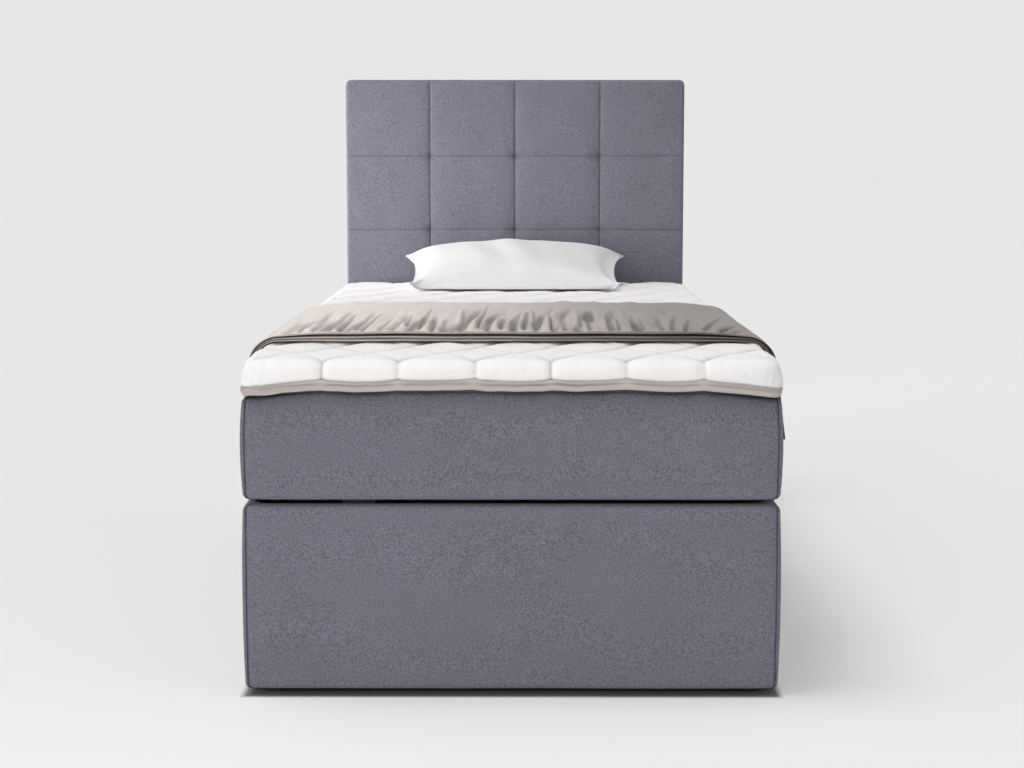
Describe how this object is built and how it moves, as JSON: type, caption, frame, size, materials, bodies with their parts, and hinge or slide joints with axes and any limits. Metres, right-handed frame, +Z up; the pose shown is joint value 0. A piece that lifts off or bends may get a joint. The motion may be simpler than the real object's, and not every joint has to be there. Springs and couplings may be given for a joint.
{
  "type": "box spring bed",
  "caption": "Storage box spring bed for one person with side-opening upper box, quilted topper, folded throw, pillow and tufted upholstered headboard.",
  "frame": {"origin": "on the floor, under the middle of the whole bed", "axes": "+Y towards the headboard, +X to the right seen from the foot, +Z up"},
  "size_m": [0.9766, 2.094, 1.1],
  "materials": {
    "upholstery_fabric": "blue-grey melange weave",
    "board": "raw particle board",
    "frame_wood": "planed softwood",
    "floor_board": "smooth hardboard",
    "glide_plastic": "black, matte",
    "strip_plastic": "grey, matte",
    "bumper_rubber": "black, soft",
    "hinge_steel": "zinc plated",
    "bolt_steel": "zinc plated",
    "strut_paint": "black paint, satin",
    "strut_chrome": "polished rod",
    "spring_cloth": "white non-woven pockets",
    "wire_steel": "drawn wire",
    "felt": "pressed felt",
    "foam": "soft foam",
    "under_cloth": "black non-woven cloth",
    "tab_webbing": "woven webbing",
    "topper_quilt": "white knitted ticking, quilted",
    "topper_band": "grey-beige border cloth",
    "throw_satin": "taupe satin",
    "pillow_cotton": "white cotton"
  },
  "bodies": {
    "base": {"foot_panel": "board", "head_panel": "board", "left_side_panel": "board", "right_side_panel": "board", "corner_blocks": "frame_wood", "corner_bolts": "bolt_steel", "floor_ledgers": "frame_wood", "floor_bearers": "frame_wood", "storage_floor_foot": "floor_board", "storage_floor_head": "floor_board", "floor_joint_strip": "strip_plastic", "glides": "glide_plastic", "rest_bumpers": "bumper_rubber", "base_foot_cover": "upholstery_fabric", "base_head_cover": "upholstery_fabric", "base_left_cover": "upholstery_fabric", "base_right_cover": "upholstery_fabric", "hinge_base_leaves": "hinge_steel", "hinge_pins": "hinge_steel", "strut_base_brackets": "strut_paint", "headboard_cushion": "upholstery_fabric", "headboard_front_board": "board", "headboard_posts": "frame_wood", "headboard_rails": "frame_wood", "headboard_back_board": "board", "headboard_border": "upholstery_fabric", "headboard_back_cover": "upholstery_fabric", "headboard_bolts": "bolt_steel"},
    "lid": {"hinge_lid_leaves": "hinge_steel", "strut_lid_brackets": "strut_paint", "frame_left_rail": "frame_wood", "frame_right_rail": "frame_wood", "frame_foot_rail": "frame_wood", "frame_head_rail": "frame_wood", "frame_slats": "frame_wood", "underside_cloth": "under_cloth", "lower_felt": "felt", "upper_felt": "felt", "comfort_foam": "foam", "foam_walls": "foam", "spring_core": "spring_cloth", "border_wires": "wire_steel", "mattress_foot_border": "upholstery_fabric", "mattress_head_border": "upholstery_fabric", "mattress_left_border": "upholstery_fabric", "mattress_right_border": "upholstery_fabric", "mattress_top": "under_cloth", "pull_tab": "tab_webbing", "topper_core": "foam", "topper_border": "topper_band", "topper_cover": "topper_quilt", "throw": "throw_satin", "pillow": "pillow_cotton"},
    "foot_strut_cylinder": {"foot_strut_cylinder": "strut_paint"},
    "foot_strut_rod": {"foot_strut_rod": "strut_chrome"},
    "head_strut_cylinder": {"head_strut_cylinder": "strut_paint"},
    "head_strut_rod": {"head_strut_rod": "strut_chrome"}
  },
  "joints": [
    {"name": "lid_hinge", "type": "hinge", "parent": "base", "child": "lid", "pos_m": [-0.432, 0, 0.328], "axis": [0, -1, 0], "range_deg": [0, 40]},
    {"name": "foot_strut_swing", "type": "hinge", "parent": "base", "child": "foot_strut_cylinder", "pos_m": [-0.36, -1.004, 0.15], "axis": [0, -1, 0], "range_deg": [0, 18]},
    {"name": "foot_strut_slide", "type": "slide", "parent": "foot_strut_cylinder", "child": "foot_strut_rod", "axis": [0.5439, 0, 0.8392], "range_m": [0, 0.099]},
    {"name": "head_strut_swing", "type": "hinge", "parent": "base", "child": "head_strut_cylinder", "pos_m": [-0.36, 0.914, 0.15], "axis": [0, -1, 0], "range_deg": [0, 18]},
    {"name": "head_strut_slide", "type": "slide", "parent": "head_strut_cylinder", "child": "head_strut_rod", "axis": [0.5439, 0, 0.8392], "range_m": [0, 0.099]}
  ],
  "couplings": [
    {"joint": "foot_strut_swing", "follows": "lid_hinge", "ratio": 0.445},
    {"joint": "foot_strut_slide", "follows": "lid_hinge", "m_per_rad": 0.1404},
    {"joint": "head_strut_swing", "follows": "lid_hinge", "ratio": 0.445},
    {"joint": "head_strut_slide", "follows": "lid_hinge", "m_per_rad": 0.1404}
  ]
}
